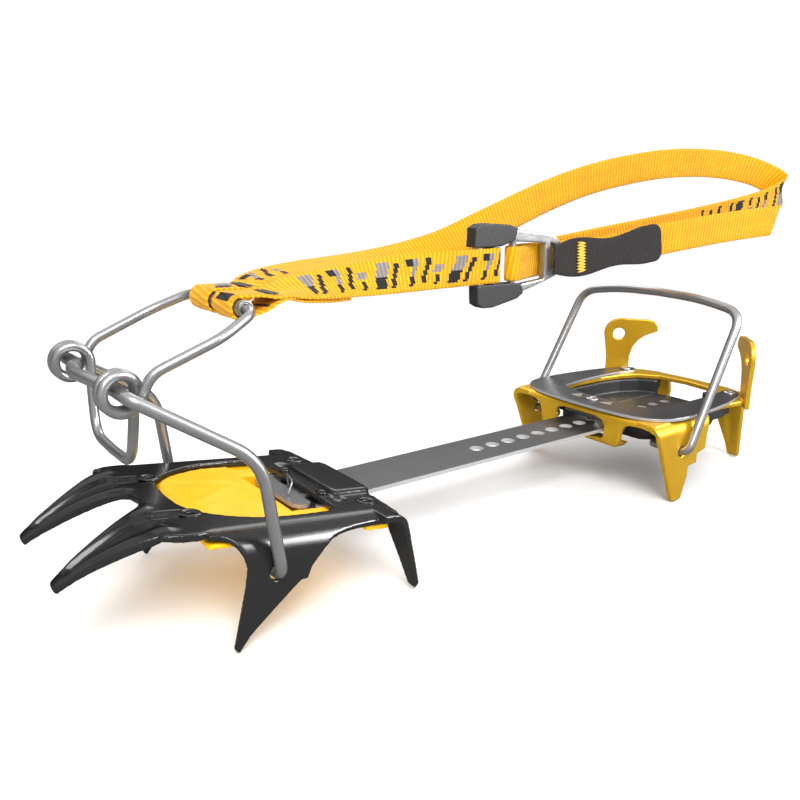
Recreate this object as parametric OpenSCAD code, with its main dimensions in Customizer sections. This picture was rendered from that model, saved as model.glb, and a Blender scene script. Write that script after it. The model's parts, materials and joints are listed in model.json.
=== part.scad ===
// Ten-point crampon with wire toe bail, step-in heel bail and ankle strap.
// Frame: +X to the side, +Y from toe to heel, +Z up. Millimetres.
// The origin is on the ground, halfway between the front tips and the strap's rear arc.

/* [Overall] */
// Distance from the front plate's rear edge back to the frame origin
origin_offset = 98.7; // [90:0.5:106]
// Upward tilt of the front plate's nose, in degrees
nose_tilt = 7.8; // [5:0.1:9]
// Height of the front plate's top surface at its rear edge
front_height = 30.5; // [29.5:0.1:31.5]

/* [Front plate] */
// Sheet thickness of the front plate
plate_thick = 2.5; // [2.2:0.1:2.6]
// Half width of the front plate over its bent side wings
wing_x = 43.2; // [42.8:0.1:43.4]
// Outer radius of the side bends
wing_r = 9; // [8:0.5:10]
// Length of the front points ahead of the slot between them
point_length = 30.5; // [28:0.5:31]
// Drop of the front points' tips below the plate
point_drop = 17; // [14:0.5:19]
// Distance of each front point's tip from the centre line
point_x = 20; // [18:0.5:22]
// Radius of the eyelet holes
eyelet_hole_r = 2.1; // [2.05:0.05:2.3]
// Radius of the toe bail's pivot holes
toe_hole_r = 2.7; // [2.4:0.1:3]

/* [Linking bar] */
// Width of the linking bar
bar_width = 25.6; // [22:0.2:26]
// Thickness of the linking bar
bar_thick = 1.6; // [1.4:0.1:1.8]
// Height of the linking bar's top surface
bar_top = 28.5; // [28.2:0.1:28.6]
// Spacing of the adjustment holes
hole_pitch = 9.25; // [9:0.05:9.5]
// Diameter of the adjustment holes
hole_dia = 6; // [5:0.1:6.4]

/* [Heel] */
// Sheet thickness of the heel frame
frame_thick = 2.3; // [2:0.1:2.4]
// Half width of the heel frame over its legs
leg_x = 46; // [45.6:0.1:46.2]
// Height of the heel frame's top surface
heel_top = 37.4; // [37:0.1:37.6]
// Radius of the heel bail's pivot holes
heel_hole_r = 2.6; // [2.4:0.1:2.8]
// Radius of the strap holes in the two posts
post_hole_r = 3.3; // [3:0.1:3.5]

/* [Wires] */
// Radius of the toe bail's and heel bail's wire
bail_r = 2; // [1.8:0.1:2.1]
// Radius of the toe link's wire
link_r = 1.6; // [1.4:0.1:1.6]
// Mean radius of the toe link's coils round the bail
coil_r = 5.4; // [5.2:0.1:5.8]
// Outer radius of the strap tube
tube_r = 2.75; // [2.6:0.05:3]

/* [Ankle strap] */
// Webbing width
web_width = 15; // [13:0.5:15]
// Webbing thickness
web_thick = 1.2; // [1:0.1:1.3]

/* [Hidden] */

black = [0.06,0.06,0.07];
yellow = [0.98,0.72,0.05];
gold = [0.80,0.58,0.10];
steel = [0.62,0.62,0.64];
dark = [0.22,0.22,0.23];

side = [1,0,0];
up = [0,0,1];
down = [0,0,-1];

// Pivots and tube axis run along X; each place is (y,z), with y = 0 at the plate's rear edge
toe_pivot = [-48.8, 23.2];
heel_pivot = [152, 23.4];
link_pivot = [-87.3, 83.6];
tube_y = -44.3;
tube_z = 102.8;

// ---- placing and profiles ----------------------------------------------
// Moves the working frame, y = 0 at the front plate's rear edge, to the origin
module placed() translate([0,-origin_offset,0]) children();
// Front section: z = 0 on the plate's top surface, nose tilted up
module tilted() placed() translate([0,0,front_height]) rotate([-nose_tilt,0,0]) children();
module pair() {
  children();
  mirror([1,0,0]) children();
}
// (y,z) profile extruded along X from x0 to x1
module along_x(x0,x1) translate([x0,0,0]) rotate([90,0,90]) linear_extrude(x1-x0) children();
// (x,z) profile extruded along Y from y0 to y1
module along_y(y0,y1) translate([0,y1,0]) rotate([90,0,0]) linear_extrude(y1-y0) children();
// Symmetric (x,y) outline raised by height from z
module slab(z,height,half) translate([0,0,z]) linear_extrude(height) polygon(both_halves(half));
// Box centred on x = 0, with its front lower edge at y, z
module wide_box(width,y,z,length,height)
  translate([-width/2,y,z]) cube([width,length,height]);
module x_rod(r,length,sides=32) rotate([0,90,0]) cylinder(r=r,h=length,$fn=sides);

// Closed outline from its right half, which starts and ends on the centre line
function both_halves(half) =
  concat(half, [for(i=[len(half)-1:-1:0]) if(half[i][0]>0.001) [-half[i][0],half[i][1]]]);
function arc(centre,r,from,to,steps=10) =
  [for(i=[0:steps]) let(a=from+(to-from)*i/steps) centre + r*[cos(a),sin(a)]];
// Section of a sheet that runs flat from start, bends down round bend_at through 90-end
// degrees, and goes on to the points in tip
function bent_sheet(start,top,bend_at,r,thick,end,tip,steps=10) =
  let(centre=[bend_at,top-r])
  concat([[start,top]], arc(centre,r,90,end,steps), tip,
    arc(centre,r-thick,end,90,steps), [[start,top-thick]]);

// ---- swept wires and ribbons -------------------------------------------
function unit(v) = v/norm(v);
// Unit vector along v's part that is square to the unit vector along
function square_to(v,along) = unit(v-(v*along)*along);
function tangent(path,i) = unit(path[min(i+1,len(path)-1)] - path[max(i-1,0)]);
// Two cross axes at each point, carried along the path from ref
function frames(path,ref,i=0,found=[]) = i>=len(path) ? found :
  let(along=tangent(path,i), normal=square_to(ref,along))
  frames(path,normal,i+1,concat(found,[[normal,cross(along,normal)]]));
// Polyline with each corner replaced by a quadratic curve that starts and ends setback away
function rounded(path,setback,steps=7) = [for(i=[0:len(path)-1]) let(corner=path[i])
  each (i==0 || i==len(path)-1) ? [corner] :
  let(start=corner+unit(path[i-1]-corner)*setback[i],
      end=corner+unit(path[i+1]-corner)*setback[i])
  [for(k=[0:steps]) let(s=k/steps) (1-s)*(1-s)*start + 2*s*(1-s)*corner + s*s*end]];
// Catmull-Rom curve through the points
function spline(path,steps=3) = concat(
  [for(i=[0:len(path)-2])
    let(prev=path[max(i-1,0)], from=path[i], to=path[i+1], next=path[min(i+2,len(path)-1)])
    for(k=[0:steps-1]) let(s=k/steps)
      0.5*(2*from + (to-prev)*s + (2*prev-5*from+4*to-next)*s*s
        + (3*from-prev-3*to+next)*s*s*s)],
  [path[len(path)-1]]);
// Path from its +X half, which ends on the centre line
function both_sides(half) = concat(half,
  [for(i=[len(half)-2:-1:0]) [-half[i][0],half[i][1],half[i][2]]]);
// Closed solid through rings of equally many points
module skin(rings) {
  n = len(rings[0]);
  last = len(rings)-1;
  polyhedron([for(ring=rings) each ring],
    concat([[for(k=[0:n-1]) k]], [[for(k=[n-1:-1:0]) last*n+k]],
      [for(i=[0:last-1]) for(k=[0:n-1]) let(a=i*n+k, b=i*n+(k+1)%n)
        each [[a,b+n,b],[a,a+n,b+n]]]));
}
module wire(path,r,sides,ref) {
  axes = frames(path,ref);
  skin([for(i=[0:len(path)-1]) [for(k=[0:sides-1]) let(a=-360*k/sides)
    path[i]+r*(cos(a)*axes[i][0]+sin(a)*axes[i][1])]]);
}
// Flat strip with a width direction and a width at each path point
module ribbon(path,dirs,widths,thick) skin([for(i=[0:len(path)-1])
  let(along=tangent(path,i), across=square_to(dirs[i],along),
      edge=across*widths[i]/2, face=cross(along,across)*thick/2)
  [path[i]+edge+face, path[i]+edge-face, path[i]-edge-face, path[i]-edge+face]]);

// ---- front section -----------------------------------------------------
eyelets = [[19.3,-67.8],[26.6,-4.9]];
keeper_pin = [14.2,-16];
keeper_hole_r = 1.05;
// Toe pivot (y,z) in the tilted plate's frame
toe_hole = [-47.4,-13.8];
// Plate edge beside the side bends
bend_x = wing_x-wing_r+0.4;
// Right halves (x,y) of the plate and of its opening
plate_half = [[0,-78],[5.5,-79.1],[6,-79.1],[32.6,-80],[33,-83.2],[35,-82.2],[36.6,-77],
  [37.2,-72],[36.4,-68.4],[bend_x,-67],[bend_x,-2],[40.5,-1.5],[40,-0.2],[28,0.8],[17,2.2],
  [0,2.6]];
opening_half = [[0,-68.7],[9,-68.2],[16.7,-66],[22,-60.6],[25.6,-55.8],[28.6,-49.5],
  [30.3,-43.5],[31,-33],[30.6,-23],[27,-19.4],[18,-18.6],[0,-18.2]];
// Front point in plan (x,y)
point_plan = concat([[5.5,-79.1],[7.4,-81.4],[9.6,-85.4],[12.4,-92.4],[15,-100]],
  arc([point_x+0.1,-77-point_length],2.6,190,350,8),
  [[25,-100],[28.4,-92.4],[31,-87],[32.6,-83],[32.6,-78],[5.5,-78]]);
// Front point from the side (y,z): upper edge forward, then lower edge back
point_reach = point_length+1.1;
function point_z(s) = -point_drop*pow(s,1.55);
point_side = concat(
  [for(i=[0:12]) let(s=i/12) [-78-point_reach*s, point_z(s)]],
  [for(i=[12:-1:0]) let(s=i/12)
    [-78-point_reach*s+1.2*s, point_z(s)-plate_thick-1.1*sin(180*min(s*1.1,1))-0.5*s]]);
// Side wing with its downward point, from the side (y,z)
wing_side = [[-69,2],[-69,-2.4],[-65.5,-2.6],[-63,-3.4],[-60.6,-5.2],[-58.7,-8],[-57.2,-11.8],
  [-57.4,-18],[-59.6,-38.2],[-58.4,-38.78],[-55,-33.6],[-50.8,-29.4],[-46.6,-25.25],
  [-42.2,-21],[-38.4,-17.5],[-36.3,-17.6],[-35,-13.5],[-33.2,-11],[-30.7,-8],[-28,-5.9],
  [-24,-4.7],[-18,-4.1],[-8,-3.9],[-2,-3.9],[-2,2]];
// How far the wing reaches out along the plate, in plan (x,y)
wing_plan = [[30,-70],[38,-70],[38.2,-66],[39.2,-63.8],[40.6,-61.8],[42.4,-59.8],[44,-58.6],
  [44,-30],[42.8,-29.4],[41.8,-26.6],[41.1,-22.6],[40.5,-18],[40.1,-12.4],[40.1,-7],
  [40.5,-2],[30,-2]];
wing_section = bent_sheet(31.2,0,wing_x-wing_r,wing_r,plate_thick,0,
  [[wing_x,-42],[wing_x-plate_thick,-42]]);
// Rear point: sheet section (y,z) and its outline from the front (x,z)
rear_section = bent_sheet(-8,0,-3,6,plate_thick,20,[[11.1,-27.4],[9.6,-29.2],[8.2,-27.8]],7);
rear_outline = [[28.5,2],[wing_x,2],[wing_x,-8],[42.8,-20],[42.3,-30],[39.6,-30],[36.4,-20],
  [32,-8],[29.5,-5]];

module at_eyelets(z=0) pair() for(p=eyelets) translate([each p,z]) children();
module front_point() intersection() {
  along_x(0,40) polygon(point_side);
  translate([0,0,-40]) linear_extrude(60) polygon(point_plan);
}
module side_wing() intersection() {
  along_y(-69.5,-2) polygon(wing_section);
  along_x(30.8,46) polygon(wing_side);
  translate([0,0,-45]) linear_extrude(50) polygon(wing_plan);
}
module rear_point() intersection() {
  along_x(28,wing_x) polygon(rear_section);
  along_y(-9,14) polygon(rear_outline);
}
module front_plate() color(black) tilted() difference() {
  union() {
    difference() {
      slab(-plate_thick,plate_thick,plate_half);
      slab(-plate_thick-1,plate_thick+2,opening_half);
      wide_box(30,-13,-plate_thick-1,20,plate_thick+2);
    }
    // raised channel over the bar
    wide_box(36,-13.2,-0.9,15.7,plate_thick);
    pair() {
      front_point();
      side_wing();
      rear_point();
    }
  }
  at_eyelets(-10) cylinder(r=eyelet_hole_r,h=20,$fn=32);
  pair() {
    translate([each keeper_pin,-10]) cylinder(r=keeper_hole_r,h=20,$fn=24);
    translate([30,each toe_hole]) rotate([nose_tilt,0,0]) x_rod(toe_hole_r,20);
  }
}

// Right halves (x,y) of the pad's flange and of the part inside the opening
pad_half = [[0,-74],[24,-74],[32,-70],[34.8,-62],[34.8,-4],[33,-2.7],[0,-2.7]];
pad_inner_half = [[0,-67.8],[8.8,-67.3],[16,-65.2],[21.3,-60],[24.8,-55.4],[27.8,-49.2],
  [29.5,-43.3],[29.5,-33],[0,-33]];
module front_antiball_pad() color(yellow) tilted() difference() {
  union() {
    slab(-plate_thick-1.8,1.7,pad_half);
    // side blocks at the front and rear
    pair() {
      translate([29,-68.6,-plate_thick-3.1]) cube([8.8,8.6,1.7]);
      translate([30.4,-12,-plate_thick-3.8]) cube([8.2,9.3,2.2]);
    }
    slab(-plate_thick-1.8,2.9,pad_inner_half);
    // housing round the bar's front end, hollowed below
    wide_box(44,-34,-11,32.5,11-plate_thick-0.1);
  }
  wide_box(41,-32.5,-9.6,60,20);
  at_eyelets(-20) cylinder(r=eyelet_hole_r,h=30,$fn=32);
}
module front_eyelets() color(dark) tilted() at_eyelets() rotate_extrude($fn=32)
  polygon([[1.1,-5],[3.2,-5],[3.2,-4.35],[2,-4.35],[2,0.05],[4,0.05],[3.8,0.45],[2.6,0.75],
    [1.6,0.6],[1.1,0]]);
// U-shaped bracket under the plate
module bar_keeper() color(dark) tilted() difference() {
  wide_box(39.6,-20.5,-8.9,14,8.9-plate_thick-0.05);
  wide_box(36.4,-30,-7.5,30,20);
  pair() translate([each keeper_pin,-10]) cylinder(r=keeper_hole_r,h=20,$fn=24);
}
module keeper_pins() color(black) tilted() pair() translate([each keeper_pin,0])
  rotate_extrude($fn=24) polygon([[0,-9.6],[1.8,-9.6],[1.8,-8.95],[1,-8.95],[1,0.05],
    [2.2,0.05],[2.1,0.75],[1.5,1.25],[0,1.4]]);
// Round-ended tab with a neck back to a cross rod
module release_tab() color(steel) tilted() union() {
  translate([0,0,-4]) linear_extrude(1.3) {
    hull() for(x=[-12.8,12.8]) translate([x,-24.2]) circle(r=4,$fn=32);
    translate([-6,-21.5]) square([12,6]);
  }
  translate([-6,-15.4,-3.35]) x_rod(0.65,12,24);
}
spring_path = [[-4,-19.4,-2.3],[-4,-20.6,2.2],[4.2,-22.6,2],[5.2,-24.4,-2.1]];
module release_spring() color(steel) tilted()
  wire(rounded(spring_path,[0,1.8,1.8,0],5),r=0.35,sides=8,ref=[0,0.3,1]);

// ---- linking bar -------------------------------------------------------
first_hole_y = 70.2;
hole_count = 15;
// The rearmost holes are smaller
small_holes = 3;
small_hole_dia = hole_dia-1.4;
bar_corner_r = 7;
module linking_bar() placed() color(dark)
  translate([0,0,bar_top-bar_thick]) linear_extrude(bar_thick) difference() {
    union() {
      translate([-bar_width/2,-21]) square([bar_width,220]);
      // crosspiece at the front end
      translate([-16.6,-22]) square([33.2,4.2]);
      hull() for(x=[-1,1])
        translate([x*(bar_width/2-bar_corner_r),204]) circle(r=bar_corner_r,$fn=32);
    }
    for(k=[0:hole_count-1]) translate([0,first_hole_y+hole_pitch*k])
      circle(d=(k>=hole_count-small_holes ? small_hole_dia : hole_dia),$fn=32);
  }

// ---- heel --------------------------------------------------------------
rear_rivet = [32.5,206.6];
front_rivet = [0,143];
rivet_hole_r = 2.05;
// Right halves (x,y) of the flat ring's outer and inner edges
ring_outer = [[0,138.4],[30,138.6],[40,138.8],[40,172],[39.6,190],[41.6,203],[38,210],
  [34.5,213.5],[31,218.5],[22,221.5],[0,222.5]];
ring_inner = [[0,149],[14,149.4],[24.5,152],[29,158],[30.5,168],[30.5,184],[28.5,196],
  [24,207],[15,213.5],[0,215.5]];
// Leg from the side (y,z), and its sheet section (x,z)
leg_side = [[134.2,40],[134.4,35],[135.6,30.4],[137.6,26.2],[147.9,0.4],[149.6,0],[154,0.5],
  [157.7,10.9],[157.7,15.3],[163.7,15.7],[163.7,20],[169.6,21.4],[170.4,29.1],[171.6,34],
  [173.4,36],[173.4,40]];
leg_section = bent_sheet(34,heel_top,leg_x-6,6,frame_thick,0,
  [[leg_x,-1],[leg_x-frame_thick,-1]]);
// Rear point: sheet section (y,z) and its outline from the front (x,z)
heel_rear_section = bent_sheet(214,heel_top,218,5,frame_thick,12,
  [[229.9,0.7],[229,0],[228,0],[227.1,1.1]],7);
heel_rear_outline = [[13.5,40],[30.5,40],[30.5,26],[28.8,12],[27,-1],[22,-1],[20.6,6],[16,20],
  [13.5,28]];
// Strap post in its own plane, with the hole's centre at the origin
post_outline = concat([[-6.2,-24],[-6.2,-13],[-6.8,-8]], arc([0.4,0.2],8.4,192,95,9),
  [[15,8.2],[18.6,7.4],[20.4,5],[20.6,1.8],[14.6,-0.4],[10.4,-3.4],[7.6,-7.6],[6.3,-13],
  [6.2,-24]]);
// Front lip: sheet section (y,z) bent down and back, then right halves (x,z) of its
// outline and its window from the front
lip_r = 3;
lip_top_bend = [137.4,heel_top-lip_r];
lip_low_bend = [137.4,24.4];
lip_section = concat([[146,heel_top]],
  arc(lip_top_bend,lip_r,90,180,7), arc(lip_low_bend,lip_r,180,270,7),
  [[143,21.4],[143,21.4+frame_thick]],
  arc(lip_low_bend,lip_r-frame_thick,270,180,5), arc(lip_top_bend,lip_r-frame_thick,180,90,5),
  [[146,heel_top-frame_thick]]);
lip_half = [[0,40],[43,40],[43,33.4],[40.5,34.4],[36,34.8],[30,34.5],[26.7,33.1],[24.9,30.4],
  [24.3,26],[23,23.2],[20.6,21],[0,21]];
lip_window_half = [[0,24.4],[13.8,24.4],[15,25.6],[15.4,30.4],[14,33.2],[10,34.3],[0,34.4]];

module heel_leg() intersection() {
  along_y(133,174) polygon(leg_section);
  along_x(33,48) polygon(leg_side);
}
module heel_rear_point() intersection() {
  along_x(13,31) polygon(heel_rear_section);
  along_y(213,232) polygon(heel_rear_outline);
}
module post() translate([39.6,208.2,57.4]) rotate([0,0,135]) rotate([90,0,0])
  translate([0,0,-frame_thick/2]) linear_extrude(frame_thick) difference() {
    polygon(post_outline);
    circle(r=post_hole_r,$fn=40);
  }
// Bends down in two arches and carries the bridge under the bar
module front_lip() intersection() {
  along_x(-43,43) polygon(lip_section);
  along_y(130,150) difference() {
    polygon(both_halves(lip_half));
    polygon(both_halves(lip_window_half));
  }
}
module heel_frame() placed() color(gold) difference() {
  union() {
    translate([0,0,heel_top-frame_thick]) linear_extrude(frame_thick) difference() {
      polygon(both_halves(ring_outer));
      polygon(both_halves(ring_inner));
    }
    pair() {
      heel_leg();
      heel_rear_point();
      post();
    }
    front_lip();
  }
  pair() {
    translate([30,each heel_pivot]) x_rod(heel_hole_r,20);
    // second side hole, behind the pivot
    translate([42,159.6,28.6]) x_rod(2.1,8);
    translate([each rear_rivet,20]) cylinder(r=rivet_hole_r,h=30,$fn=24);
  }
  translate([each front_rivet,30]) cylinder(r=rivet_hole_r,h=12,$fn=24);
}

// Right half (x,y) of the horseshoe plate: outer edge, rear end, inner edge
top_half = [[0,133.4],[12,133.6],[24,134.6],[31,136],[37,138.6],[41,142],[43.6,146.6],
  [45,152.6],[45,165],[43.9,176],[42,190],[39,202],[37.6,206.6],[35,210.2],[31.8,212.6],
  [28.4,211.2],[27.4,207.5],[28.6,201],[29.4,190],[29.6,176],[29,166],[27.6,156],[25,151.4],
  [14,148.8],[0,148.2]];
module heel_top_plate() placed() color(steel) translate([0,0,heel_top+0.05]) difference() {
  slab(0,1.5,top_half);
  translate([each front_rivet,-1]) cylinder(r=rivet_hole_r,h=5,$fn=24);
  pair() {
    // triangular hole beside the front rivet
    translate([0,0,-1]) linear_extrude(5) polygon([[6,141.6],[12.4,141.8],[9.4,146.8]]);
    translate([each rear_rivet,-1]) cylinder(r=rivet_hole_r,h=5,$fn=24);
  }
}

// Right halves (x,y) of the heel pad's flange, lower body and top recess
heel_pad_flange = [[0,139.4],[30,139.8],[38.6,142.4],[38.6,190],[36,202],[31,210],[24,214.6],
  [0,216.4]];
heel_pad_body = [[0,148.5],[24,149.4],[31.6,158],[33,168],[32.6,184],[30,197],[24,209],
  [15,213.6],[0,215.4]];
heel_pad_recess = [[0,152],[24,153.4],[29,160],[29,184],[27,196],[22,206],[14,211],[0,213]];
heel_pad_z = 30.2;
module heel_antiball_pad() placed() color(black) difference() {
  union() {
    slab(heel_pad_z,heel_top-frame_thick-0.1-heel_pad_z,heel_pad_flange);
    slab(23.6,8,heel_pad_body);
  }
  // channel for the bar
  wide_box(29.2,130,25.4,100,20);
  slab(28,20,heel_pad_recess);
  pair() translate([each rear_rivet,10]) cylinder(r=4,h=40,$fn=24);
}
module bar_guide() placed() color(dark) difference() {
  wide_box(40,154.5,28.05,13.5,3.2);
  wide_box(27.2,150,20,30,9.3);
}
// Tail heights are given below the frame's top, at the axis and at the rim
module rivet(place,tail_axis,tail_rim) translate([each place,heel_top])
  rotate_extrude($fn=24) polygon([[0,-tail_axis],[3.2,-tail_rim],[3.4,-frame_thick-0.05],
    [2,-frame_thick-0.05],[2,1.6],[3.2,1.6],[2.6,2.5],[0,2.8]]);
module heel_rivets() placed() color(steel) {
  pair() rivet(rear_rivet,4.4,4.4);
  rivet(front_rivet,2.9,2.8);
}
// Cross pin with a short arm back to a peg over the bar
module adjuster_pin() placed() color(steel) union() {
  translate([-13.4,140.6,32]) x_rod(1.4,26.8,24);
  wide_box(4.8,139.8,30.7,6.8,2.2);
  translate([0,144.2,bar_top+0.25]) cylinder(r=2.4,h=3,$fn=32);
}

// ---- wires -------------------------------------------------------------
// +X halves of the bails, from the pivot to the centre line
toe_bail_half = [[37,each toe_pivot],[46.4,each toe_pivot],[44.6,-53.5,61.9],
  [33.6,each link_pivot],[19.5,each link_pivot],[9,-91.2,85.2],[0,-92.8,85.4]];
heel_bail_half = [[30,each heel_pivot],[49,each heel_pivot],[46.8,185.6,82.6],[24,187.4,86.2],
  [0,187.6,86.8]];
module bail(half,setback) placed() color(steel)
  wire(both_sides(rounded(half,setback)),r=bail_r,sides=12,ref=[0,1,0]);
module toe_bail() bail(toe_bail_half,[0,5.5,9,2.6,4,4,0]);
module heel_bail() bail(heel_bail_half,[0,4.5,8.5,10,0]);

// Coil of nearly two turns round the toe bail, running inwards
coil_steps = 54;
coil_start = -18;
coil_turn = -716;
coil_x = [28.8,21.9];
coil = [for(i=[0:coil_steps]) let(s=i/coil_steps, a=coil_start+coil_turn*s)
  [coil_x[0]+(coil_x[1]-coil_x[0])*s,
   link_pivot[0]+coil_r*cos(a), link_pivot[1]+coil_r*sin(a)]];
// +X half of the toe link: from inside the strap tube, through the coil, to the front loop
link_half = concat(
  rounded([[0.4,tube_y,tube_z],[25.4,tube_y,tube_z],[31,-57.4,97.2],[29.4,-79.4,88.6],
    coil[0]],[0,4.5,5,4,0],5),
  [for(i=[1:coil_steps-1]) coil[i]],
  rounded([coil[coil_steps],[21.2,-82.6,74.4],[18,-83.4,59.4],[0,-83.4,58.8]],[0,3,7,0],6));
module toe_link() placed() color(steel)
  wire(both_sides(link_half),r=link_r,sides=10,ref=[0,0.2,1]);
module strap_tube() placed() color(steel) translate([-20,tube_y,tube_z]) difference() {
  x_rod(tube_r,40);
  translate([-1,0,0]) x_rod(link_r+0.1,42);
}

// ---- ankle strap -------------------------------------------------------
buckle_x = -13.3;
buckle_z = 105.2;
buckle_half = 1.75; // half the buckle frame's thickness
// y of the buckle's two round bars and of its flat crossbar
round_bars = [88.6,99.6];
flat_bar = 120.5;
// Radii of the webbing's mid surface round the tube and round a buckle bar
tube_wrap_r = tube_r+0.25+web_thick/2;
bar_wrap_r = buckle_half+0.3+web_thick/2;
// x of the webbing on either side of a buckle bar
left_x = buckle_x-bar_wrap_r;
right_x = buckle_x+bar_wrap_r;

// Strap stations are [position, width direction]
function tube_wrap(x) = [for(a=[-80:-20:-260])
  [[x,tube_y+tube_wrap_r*cos(a),tube_z+tube_wrap_r*sin(a)],side]];
function bar_wrap(y,start) = [for(a=[start:22.5:start+180])
  [[buckle_x+bar_wrap_r*cos(a),y+bar_wrap_r*sin(a),buckle_z],down]];
// Forward under the tube, round it, and back to the buckle's first bar
short_stations = concat(
  [[[-4.54,5,104.06],[0.743,0,-0.669]], [[-0.8,-5,104.05],[0.819,0,-0.574]],
   [[2.41,-15.2,104.13],[0.906,0,-0.423]], [[5.06,-24,104.14],[0.97,0,-0.24]],
   [[8,tube_y+14,tube_z+0.1],side], [[9.5,tube_y+8,tube_z-1.9],side]],
  tube_wrap(9.5),
  [[[8.6,tube_y+8,tube_z+3],side], [[7.4,tube_y+14,tube_z+2.1],[1,0,-0.06]],
   [[5.4,-24,105.5],[0.97,0,-0.24]], [[3,-15.2,105.5],[0.906,0,-0.423]],
   [[0,-5,105.4],[0.819,0,-0.574]], [[-3.6,5,105.3],[0.743,0,-0.669]],
   [[-7.4,20,105.1],[0.6,0,-0.8]], [[-9.6,36,105.2],[0.407,0,-0.914]],
   [[-10.6,52,105.3],[0.174,0,-0.985]],
   [[right_x,68,buckle_z],down], [[right_x,round_bars[0]-1,buckle_z],down]],
  bar_wrap(round_bars[0],0),
  [[[left_x,round_bars[0]-3.4,buckle_z],down], [[left_x,round_bars[0]-7,buckle_z],down]]);
// Round the tube, back round the heel arc, forward to the second bar, and back as the tail
long_stations = concat(
  [[[-9.5,tube_y+14,tube_z+0.3],side], [[-9.5,tube_y+8,tube_z-1.9],side]],
  tube_wrap(-9.5),
  [[[-10.2,tube_y+8,tube_z+3.2],side], [[-11.6,tube_y+14,tube_z+2.6],[1,0,-0.06]],
   [[-15.6,-24,107.2],[0.995,0,-0.1]], [[-19.4,-14,108.4],[0.99,0,-0.14]],
   [[-23.4,0,109],[0.985,0,-0.174]], [[-29,18,108.9],[0.97,0,-0.242]],
   [[-33.6,40,109],[0.927,0,-0.375]], [[-37,62,110.2],[0.839,0,-0.545]],
   [[-39.6,85,113.4],[0.695,0,-0.719]], [[-42.4,115,121.6],[0.407,0,-0.914]],
   [[-43.4,150,132.6],[0.139,0,-0.99]], [[-42.4,180,140.4],down], [[-40,210,145.6],down],
   [[-37,240,148.6],down], [[-31.4,270,148.4],[0.05,0,-1]], [[-23.5,291,145],[0.1,0,-1]],
   [[-15.6,302.6,139.4],[0.12,0,-1]], [[-9,302.4,133.6],[0.1,0,-1]],
   [[-7.6,290,128.6],[0.05,0,-1]], [[-9.2,266,123.8],down], [[-11.8,230,118.8],down],
   [[-15.4,190,114],down], [[-19,150,109.4],down], [[-20.6,130,106.8],down],
   [[-19.8,flat_bar,105.5],down], [[-17.2,108,105.6],down],
   [[left_x,round_bars[1]+2,buckle_z],down]],
  bar_wrap(round_bars[1],180),
  [[[right_x-0.5,round_bars[1]+3,buckle_z],down], [[-13.9,108.4,105.2],down],
   [[-17.6,118.6,105.2],down], [[-17.9,124,105.4],down], [[-17.3,130,105.8],down],
   [[-14.2,137,106.2],down], [[-10.9,144,106.8],down], [[-7.4,152.5,107.6],down],
   [[-3.4,172,110.6],down], [[1,196,113.6],down], [[5,233,117],down],
   [[10.4,266.4,119.4],down]]);
module strap(stations) placed() color(yellow) {
  path = spline([for(s=stations) s[0]]);
  ribbon(path,spline([for(s=stations) s[1]]),[for(p=path) web_width],web_thick);
}
module short_strap() strap(short_stations);
module long_strap() strap(long_stations);
// A row of five stitches on each strap: first x, height above the tube's axis
stitch_rows = [[2.2,3.8],[-16.6,4.25]];
module strap_stitching() placed() color(black) for(k=[0:4], row=stitch_rows)
  translate([row[0]+k*2.4,tube_y+9.4,tube_z+row[1]]) cube([1.4,3.6,0.3]);

// Buckle profiles (y,z)
buckle_outline = [[79.2,90.8],[81.6,89],[86,89],[108,93.2],[120,96.4],[126,98.2],[128.6,101],
  [128.6,112.6],[126,115.4],[120,117.2],[104,119.6],[84,121.2],[79.6,121],[77.2,118.6]];
buckle_window = [[82.4,94.6],[92,94.8],[118.4,97.2],[118.4,113.2],[92,115.6],[81.2,115.8]];
buckle_slot = [[122,99.8],[125.4,101.2],[125.4,112],[122,113.4]];
// Pocket in the sleeves, clear of the frame all round
sleeve_gap = 0.06;
sleeve_pocket = [[79.1,90.72],[81.56,88.92],[86.02,88.92],[108.1,93.1],[120,96.3],
  [120,117.3],[104.02,119.68],[84,121.28],[79.54,121.08],[77.12,118.64]];
upper_sleeve = [[75.4,113.4],[75.8,121.4],[79,123],[84,123.2],[96,122.2],[100.4,120.6],
  [99,115.6],[91,113.2],[79,113.2]];
lower_sleeve = [[77.4,97],[77.8,89],[81,87.2],[86.4,87],[101,89.8],[104.6,92],[103.6,96.6],
  [91,97.2],[80,97.2]];
module buckle_slab(half,profile) along_x(buckle_x-half,buckle_x+half) polygon(profile);
module buckle_frame() placed() color(steel) union() {
  difference() {
    buckle_slab(buckle_half,buckle_outline);
    buckle_slab(6,buckle_window);
    buckle_slab(6,buckle_slot);
  }
  for(y=round_bars) translate([buckle_x,y,93.4]) cylinder(r=1.7,h=23.6,$fn=32);
}
module sleeve(profile,bars) difference() {
  buckle_slab(3,profile);
  buckle_slab(buckle_half+sleeve_gap,sleeve_pocket);
  for(y=bars) translate([buckle_x,y,90]) cylinder(r=1.78,h=30,$fn=32);
}
module buckle_sleeves() placed() color(black) {
  sleeve(upper_sleeve,[round_bars[0]]);
  sleeve(lower_sleeve,round_bars);
}

pull_path = [[-8.8,flat_bar+1.4,105.6],[-8.2,126,105.8],[-7.1,133,106.3],[-5.2,141,106.8],
  [-3,151,107.8],[-0.4,164,109.6],[3.2,181,112]];
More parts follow.
